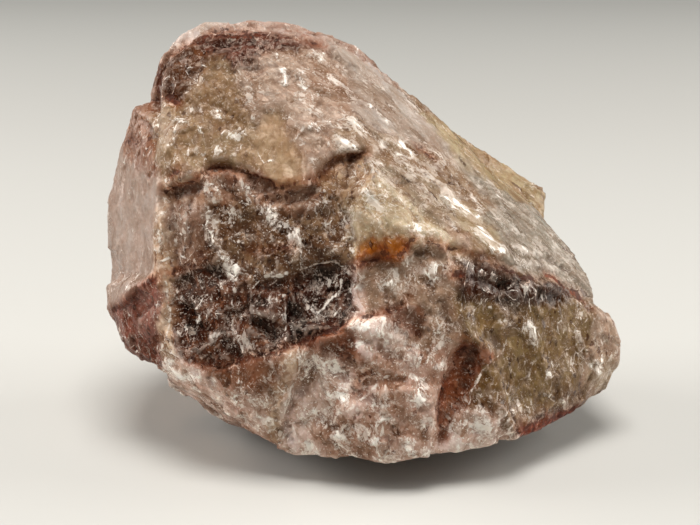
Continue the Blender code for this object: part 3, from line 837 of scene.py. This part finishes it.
class Bench:
    """One material's node tree, and the one way to add a node to it."""

    def __init__(self, name):
        self.material = bpy.data.materials.new(name)
        self.material.use_nodes = True
        self.tree = self.material.node_tree
        self.tree.nodes.clear()

    def node(self, kind, settings=None, inputs=None, output=0):
        """Adds a node: its settings first, then its sockets' values or links."""
        made = self.tree.nodes.new(kind)
        for name, value in (settings or {}).items():
            setattr(made, name, value)
        for key, value in (inputs or {}).items():
            if isinstance(value, Wire):
                self.tree.links.new(value.socket, made.inputs[key])
            else:
                made.inputs[key].default_value = value
        return Wire(self, made.outputs[output]) if made.outputs else None

    def stored(self, name, output="Fac"):
        return self.node("ShaderNodeAttribute", {"attribute_name": name}, output=output)

    def mix(self, share, first, second, how="MIX"):
        settings = {"data_type": "RGBA", "blend_type": how, "clamp_factor": True}
        return self.node("ShaderNodeMix", settings, {0: share, 6: first, 7: second}, output=2)

    def parts(self, colour):
        return [self.node("ShaderNodeSeparateColor", None, {0: colour}, part) for part in range(3)]

    def vector(self, operation, inputs, output=0):
        return self.node("ShaderNodeVectorMath", {"operation": operation}, inputs, output)

    def noise(self, place, per_mm, detail=3.0, roughness=0.55, output="Fac"):
        sockets = {"Vector": place, "Scale": per_mm, "Detail": detail, "Roughness": roughness}
        return self.node("ShaderNodeTexNoise", {"normalize": True}, sockets, output)

    def cells(self, place, per_mm, feature="F1", output="Distance"):
        settings = {"feature": feature, "distance": "EUCLIDEAN"}
        sockets = {"Vector": place, "Scale": per_mm}
        return self.node("ShaderNodeTexVoronoi", settings, sockets, output)

    def reddening(self, depth):
        """A light that loses green and blue sooner than red, as it does inside stained quartz."""
        sockets = {0: depth, 1: depth ** GREEN_LOSS, 2: depth ** BLUE_LOSS}
        return self.node("ShaderNodeCombineColor", None, sockets)


def paint(red, green, blue):
    """A paint chart's colour as the four numbers that a colour socket takes."""
    return (*linear((red, green, blue)).tolist(), 1.0)


def either(strongest, *others):
    """At least as strong as any one of some marks."""
    for other in others:
        strongest = strongest.maths("MAXIMUM", strongest, other)
    return strongest


print("a mid grey as light:", [round(v, 3) for v in paint(128, 128, 128)[:3]])

# %% [markdown]
# ## The body of the quartz
#
# Under its skin, quartz is a clouded glass: one sees into it a little, so the colour has depth.
# Broad clouds make it lighter and darker, warm and cool, and dark windows show where the quartz is
# clear enough to look into; along the crown's lip the same darkening is painted shadow under the
# lip. All patterns are measured in millimetres on the stone itself.
# The streaked kinds have their patterns drawn out along the grain, down the long slope. Each big
# shard is also painted a little lighter towards one side of its tilted face, as painted shade.

# %% Body colour
SWIRL = 2.5            # how far the broad and the fine bends carry a pattern, in millimetres
CROOKED = 0.7
DOWN = Vector((0.15, -0.35, -0.92)).normalized()
DRAWN_DOWN, DRAWN_ALONG = 0.40, 0.72
SHARDS_PER_MM = {"big": 0.16, "middling": 0.42, "small": 1.25}
PINK_CAST, WARM_CAST = (1.02, 0.91, 0.81, 1), (1.05, 0.87, 0.74, 1)
SEEN_SMOKE, DEEP_SMOKE_AND_LIP_SHADE = (0.24, 0.095, 0.05, 1), (0.12, 0.035, 0.018, 1)
HALF = (0.5,) * 3

bench = Bench("hematoid_quartz")
at = bench.node("ShaderNodeTexCoord", output="Object")
place = bench.vector("SCALE", {0: at, "Scale": 1 / MM})
wander = bench.noise(place, 0.12, 2.0, output="Color")
swirl = bench.vector("MULTIPLY_ADD", {0: wander, 1: (SWIRL,) * 3, 2: place})
bends = bench.noise(place, 0.55, 2.0, 0.5, output="Color")
crooked = bench.vector("MULTIPLY_ADD", {0: bends, 1: (CROOKED,) * 3, 2: swirl})


def drawn_out_along(direction, amount, coordinates):
    """The coordinates squeezed one way, so that a pattern on them comes out in streaks."""
    run = bench.vector("DOT_PRODUCT", {0: coordinates, 1: direction}, "Value")
    back = bench.vector("SCALE", {0: direction, "Scale": run * amount})
    return bench.vector("SUBTRACT", {0: coordinates, 1: back})


tint = bench.stored("tint", "Color")
frost_share, smoke_share, streak_share, rough_share, iron_share = map(bench.stored, HABITS)
edge_share = bench.stored("edge")

blotch = bench.noise(swirl, 0.45)
along_slope = (streak_share + (blotch - 0.5) * 0.6).above(0.45)
down_front = drawn_out_along(DOWN, DRAWN_DOWN, crooked)
flow = bench.mix(along_slope, down_front, drawn_out_along(GRAIN_RUN, DRAWN_ALONG, crooked))


def shards(size):
    """For every shard of one size: three random numbers, its tilted face and the way it leans."""
    per_mm = SHARDS_PER_MM[size]
    colour = bench.cells(flow, per_mm, "F1", "Color")
    lean = bench.vector("SUBTRACT", {0: colour, 1: HALF})
    out = bench.vector("SUBTRACT", {0: flow, 1: bench.cells(flow, per_mm, "F1", "Position")})
    return bench.parts(colour), bench.vector("DOT_PRODUCT", {0: out, 1: lean}, "Value"), lean


def border(size):
    """The gap to the border of the shard, in millimetres."""
    per_mm = SHARDS_PER_MM[size]
    return bench.cells(flow, per_mm, "DISTANCE_TO_EDGE") * (1 / per_mm)


big, big_face, big_lean = shards("big")
middling, middling_face, middling_lean = shards("middling")
small, small_face, _ = shards("small")
cloud = bench.noise(swirl, 0.15, 4.0)
hue = bench.noise(place, 0.23)
grain = bench.noise(place, 1.1, 3.0, 0.6)

# Painted shade: big_face * 0.12 makes each big shard lighter towards one side, as if its tilted
# face caught the light.
mosaic_and_facet_shade = (big[0] - 0.5) * 0.65 + big_face * 0.12
mosaic_and_facet_shade = mosaic_and_facet_shade + (middling[0] - 0.5) * 0.42 + (small[0] - 0.5) * 0.46
unevenness = (cloud - 0.5) * 1.0 + (grain - 0.5) * 0.8 + mosaic_and_facet_shade
tone = 1 + unevenness * (0.3 + rough_share * 0.7)
cast = bench.mix(hue.step(0.35, 0.65), PINK_CAST, WARM_CAST)
body = bench.mix(1.0, bench.mix(1.0, tint, cast, "MULTIPLY"), bench.reddening(tone), "MULTIPLY")

window = (blotch + smoke_share * 0.06).step(0.46, 0.55) * (0.05 + smoke_share * 0.95)
dark_gap = bench.stored("dark_gap") + (blotch - 0.5) * 4.0 + (middling[1] - 0.5) * 0.6
# Along the crown's lip this darkening is painted shadow under the lip; elsewhere it is the dark of
# clear, smoky quartz seen into.
seen_into_and_lip_shade = (1 - dark_gap.step(-0.4, 0.8)) * (0.4 + smoke_share * 0.6)
body = bench.mix(window, body, SEEN_SMOKE, "MULTIPLY")
body = bench.mix(seen_into_and_lip_shade * 0.9, body, DEEP_SMOKE_AND_LIP_SHADE, "MULTIPLY")
print("body:", len(bench.tree.nodes), "nodes")

# %% [markdown]
# ## White cracks, rims, flakes, painted glints and plates
#
# Where quartz cracks, air gets in and the crack looks white. Every shard has a plane through
# its middle, and where that plane comes out of the surface, a crack can show as a thin line.
# Hairlines wander further: they lie where a smooth noise passes through its middle value.
# Crowds of cracks make the frosted plates, and the traced veins add the longest lines. Between
# them lie specks of powder, single white flakes on the middling shards, painted glints of light on
# the small ones, and feathers: fine strokes that run one way in each shard, and crowd together
# where its border is torn. Sharp edges are bruised white.

# %% White marks
SOFT_CHOICE = 0.04     # soft rise of a choice between one shard and the next

hair_field = bench.noise(crooked, 0.26, 2.0, 0.5)
hairline = 1 - hair_field.distance_from(0.5).step(0.002, 0.015)
patchy = bench.noise(swirl, 0.20, 4.0, 0.6).step(0.46, 0.60)
clotted = bench.noise(flow, 0.60, 5.0, 0.62).step(0.46, 0.62)

plate_gap = bench.stored("plate_gap") + (blotch - 0.5) * 3.4 + (middling[0] - 0.5) * 1.4
plate = 1 - plate_gap.step(-0.4, 0.5)
crowd = frost_share * (0.06 + patchy * 0.74) + plate * 0.45
big_border, middling_border = border("big"), border("middling")


def chosen(chance, share):
    """1 on about this share of the shards, picked by one of their random numbers."""
    return (chance + share - 1).step(0.0, SOFT_CHOICE)


def thin_line(gap, width, chance, share):
    """A white line where the gap is near zero, on a share of the shards."""
    return (1 - gap.step(0.25 * width, width)) * chosen(chance, share)


def feathers(lean, per_mm, sparse):
    """Fine white strokes that run one way within each shard, and another way in the next."""
    way = bench.vector("NORMALIZE", {0: lean})
    strokes = bench.noise(drawn_out_along(way, 0.86, flow), per_mm, 4.0, 0.6)
    return (strokes + crowd * 0.16).step(sparse, sparse + 0.10)


lines = either(
    thin_line(big_face.distance_from(0.0), 0.06, big[1], crowd * 0.8),
    thin_line(middling_face.distance_from(0.0), 0.055, middling[1], crowd * 0.6),
    thin_line(big_border, 0.30, big[2], 0.1 + crowd),
    thin_line(middling_border, 0.20, middling[2], 0.05 + crowd),
    hairline * patchy * 0.5,
)
lines = lines * grain.step(0.42, 0.56) * (0.4 + patchy * 0.6)
speck = bench.noise(crooked, 1.9, 3.0, 0.65)
specks = (speck + crowd * 0.12).step(0.59, 0.65) * (0.2 + frost_share)
# Painted glints: the bright dots on the small shards stand for glints of light; the fainter dots
# on the middling shards are white flakes.
glints_and_flakes = either(chosen(small[2], crowd * 0.24) * 0.8, chosen(middling[0], crowd * 0.10) * 0.4)
torn = (1 - either(big_border * 0.8, middling_border * 1.6).step(0.0, 0.9)) * crowd
feathered = either(feathers(big_lean, 1.2, 0.56), feathers(middling_lean, 2.2, 0.59))
feathered = feathered * (0.12 + crowd + torn * 1.4)
haze = (clotted * crowd * 0.55 + plate * 0.22) * (1 - smoke_share * 0.6)

milk_gap = bench.stored("milk_gap") + (grain - 0.5) * 1.0 + (blotch - 0.5) * 1.0
milk = (1 - milk_gap.step(0.02, 0.30)) * 0.9
bruise = edge_share.step(0.62, 0.86) * (0.15 + small[1] * 0.35 + middling[2] * 0.45)
bruise = bruise * (0.2 + frost_share * 0.7)
white = either(lines, glints_and_flakes, specks, haze, feathered, milk, bruise) * (1 - streak_share * 0.42)
print("white marks:", len(bench.tree.nodes), "nodes")

# %% [markdown]
# ## Rust
#
# Hematite is the red-brown of dried blood where it is thick and orange where it is thin. It is
# thickest in the seams, where it also fills the groove, bleeds a few millimetres out of them, and
# spots the kinds that hold much iron. The layers go on one over the other: pits first, then white
# marks, stain, the rust itself, and painted shade and dirt in the crevices last.

# %% Rust
FAINT_WHITE, FULL_WHITE = paint(196, 160, 134), paint(252, 243, 231)
THICK_RUST, THIN_RUST = paint(62, 20, 10), paint(132, 58, 30)
PIT_DARKENING, RUST_STAIN = (0.22, 0.10, 0.06, 1), (0.72, 0.36, 0.20, 1)
# Painted shade and dirt, laid in the stone's hollows.
CREVICE_SHADE_AND_DIRT = (0.32, 0.17, 0.11, 1)

rust_field = bench.noise(place, 0.45, 4.0, 0.6)
rust_gap = bench.stored("rust_gap") + (rust_field - 0.44) * 5.0 + (small[0] - 0.5) * 0.5
seam_rust = 1 - rust_gap.step(-0.15, 0.25)
halo = (1 - rust_gap.step(0.0, 2.6)) * (0.35 + rust_field.step(0.35, 0.55) * 0.4)
spots = bench.noise(swirl, 0.42, 4.0, 0.58).step(0.50, 0.62) * iron_share * 0.7
# Here the pits get a darker colour.
pit = (smoke_share * 0.22 + rough_share * 0.05 - small[2]).step(0.0, 0.05)
# Painted shade: the hollows are darkened, partly as dirt and partly as the shade that falls in
# them.
crevice_shade_and_dirt = (1 - edge_share.step(0.14, 0.44)) * (0.25 + smoke_share * 0.35)

colour = bench.mix(pit * 0.8, body, PIT_DARKENING, "MULTIPLY")
marks = bench.mix(white, bench.mix(0.5, tint, FAINT_WHITE), FULL_WHITE)
colour = bench.mix(white, colour, marks)
colour = bench.mix(either(halo, spots), colour, RUST_STAIN, "MULTIPLY")
rust_colour = bench.mix(rust_field.step(0.4, 0.62), THICK_RUST, THIN_RUST)
colour = bench.mix(seam_rust * 0.8, colour, rust_colour)
colour = bench.mix(crevice_shade_and_dirt, colour, CREVICE_SHADE_AND_DIRT, "MULTIPLY")
print("with rust:", len(bench.tree.nodes), "nodes")

# %% [markdown]
# ## Gloss and fine fracture
#
# A fresh break in quartz shines like glass, and the frost and rust on it are dull. The finest
# chips are too small for the skin's points, so they are bump: every Voronoi cell leans its own
# way, and each little facet catches the light by itself. The glow of light inside the stone is
# subsurface scattering, the same all over, because its sockets have to stay plain numbers.

# %% Gloss, bump and the finished material
QUARTZ_IOR = 1.54
SHEEN_TINT = (1.0, 0.80, 0.62, 1.0)
GLOW_DEPTH = 1.6 * MM

faces_tilted = big_face * 0.55 + middling_face * 0.55 + small_face * 0.50
height = faces_tilted * (0.25 + rough_share * 0.75) + (grain - 0.5) * 0.10
height = height + white * 0.06 - seam_rust * 0.12 - pit * 0.1
bump = bench.node("ShaderNodeBump", None, {"Strength": 1.0, "Distance": MM, "Height": height})

dull = 0.16 + white * 0.25 + seam_rust * 0.35 + middling[2] * 0.22
surface = bench.node("ShaderNodeBsdfPrincipled", None, {
    "Base Color": colour,
    "Roughness": dull,
    "Normal": bump,
    "IOR": QUARTZ_IOR,
    "Specular IOR Level": 0.22,
    "Specular Tint": SHEEN_TINT,
    "Subsurface Weight": 0.10,
    "Subsurface Scale": GLOW_DEPTH,
    "Subsurface Radius": (1.0, 0.62, 0.48),
})
bench.node("ShaderNodeOutputMaterial", None, {"Surface": surface})
quartz.data.materials.append(bench.material)
print("finished material:", len(bench.tree.nodes), "nodes")

# %% [markdown]
# ## The stage
#
# The stone lies on plain pale card. From 0.3 m out the card gets a little lighter, which makes
# up for the lamp's fall-off, and it does so on every side, so that the stone can be seen from
# all around with no wall in the way.

# %% Floor
FLOOR_SIDE = 8.0
CARD_EDGE = 0.30
CARD_FADE = 0.40
NEAR_CARD, FAR_CARD = paint(190, 187, 180), paint(199, 197, 190)
CARD_ROUGHNESS = 0.55

bm = bmesh.new()
bmesh.ops.create_grid(bm, x_segments=1, y_segments=1, size=FLOOR_SIDE / 2)
floor_mesh = bpy.data.meshes.new("floor")
bm.to_mesh(floor_mesh)
bm.free()
floor = bpy.data.objects.new("floor", floor_mesh)
bpy.context.scene.collection.objects.link(floor)

card = Bench("card")
card_place = card.node("ShaderNodeTexCoord", output="Object")
out_x = card.node("ShaderNodeSeparateXYZ", None, {0: card_place}, 0)
out_y = card.node("ShaderNodeSeparateXYZ", None, {0: card_place}, 1)
reach = either(out_x.distance_from(0.0), out_y.distance_from(0.0))
far = reach.step(CARD_EDGE, CARD_EDGE + CARD_FADE)
card_look = {"Base Color": card.mix(far, NEAR_CARD, FAR_CARD), "Roughness": CARD_ROUGHNESS}
card_surface = card.node("ShaderNodeBsdfPrincipled", None, card_look)
card.node("ShaderNodeOutputMaterial", None, {"Surface": card_surface})
floor.data.materials.append(card.material)
print("floor:", FLOOR_SIDE, "m square")

# %% [markdown]
# ## Soft light from above
#
# One broad lamp hangs over the stone, a little in front, so that the top and the long slope are
# bright, the front is half in shade, and the shadow is soft. A wider lamp on either side, half
# as high, lights the ends and lifts the shadow, and a weak grey world fills the rest.

# %% Lights
LAMPS = {              # place in metres, side in metres, watts
    "overhead": ((0, -0.15, 0.85), 0.4, 8.4),
    "left": ((-0.90, 0.15, 0.40), 0.6, 10.5),
    "right": ((0.90, 0.15, 0.40), 0.6, 8.8),
}
LAMP_AIM = Vector((0, 0, 0.03))
ROOM_COLOUR = paint(200, 199, 195)
ROOM_STRENGTH = 0.13

for name, (spot_above, side, watts) in LAMPS.items():
    data = bpy.data.lights.new(name, "AREA")
    data.shape = "SQUARE"
    data.size = side
    data.energy = watts
    lamp = bpy.data.objects.new(name, data)
    bpy.context.scene.collection.objects.link(lamp)
    lamp.location = spot_above
    lamp.rotation_mode = "QUATERNION"
    lamp.rotation_quaternion = (LAMP_AIM - Vector(spot_above)).to_track_quat("-Z", "Y")
world = bpy.data.worlds.new("room")
world.use_nodes = True
world.node_tree.nodes["Background"].inputs["Color"].default_value = ROOM_COLOUR
world.node_tree.nodes["Background"].inputs["Strength"].default_value = ROOM_STRENGTH
bpy.context.scene.world = world
bpy.context.scene.view_settings.view_transform = "Standard"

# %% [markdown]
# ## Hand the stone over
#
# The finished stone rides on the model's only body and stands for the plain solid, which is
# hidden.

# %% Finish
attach(quartz, "root")
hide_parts("quartz_chunk")
